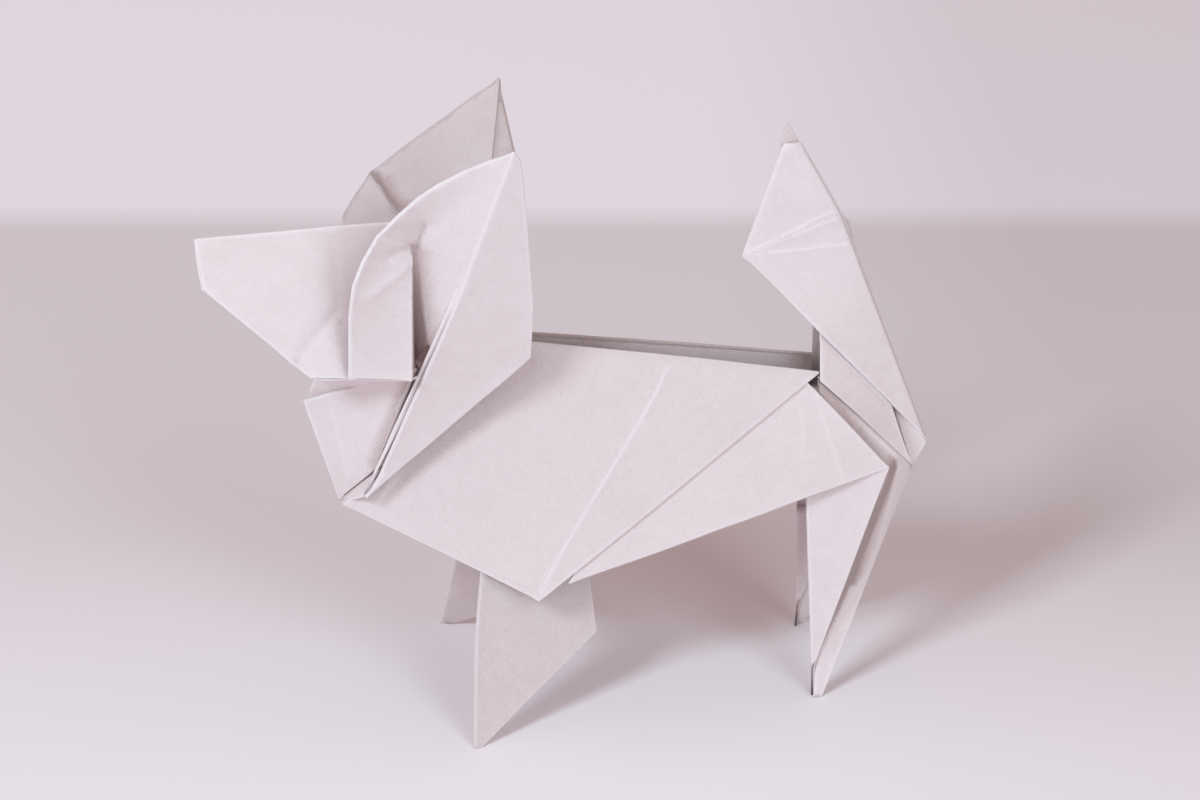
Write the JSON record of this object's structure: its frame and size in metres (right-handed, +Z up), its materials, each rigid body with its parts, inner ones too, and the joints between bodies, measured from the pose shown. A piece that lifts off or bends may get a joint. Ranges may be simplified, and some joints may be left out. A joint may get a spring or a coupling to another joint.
{
  "type": "origami dog",
  "caption": "Standing dog folded from one sheet of pale paper, with pricked ears, a raised tail and splayed legs.",
  "frame": {"origin": "centre of the footprint of the bounding box, on the ground under the feet", "axes": "nose towards -X, tail towards +X, the dog's left side towards -Y, +Z up"},
  "size_m": [0.0924, 0.0324, 0.0795],
  "materials": {
    "paper": "matt uncoated paper"
  },
  "bodies": {
    "root": {"folded_sheet": "paper"}
  },
  "joints": []
}
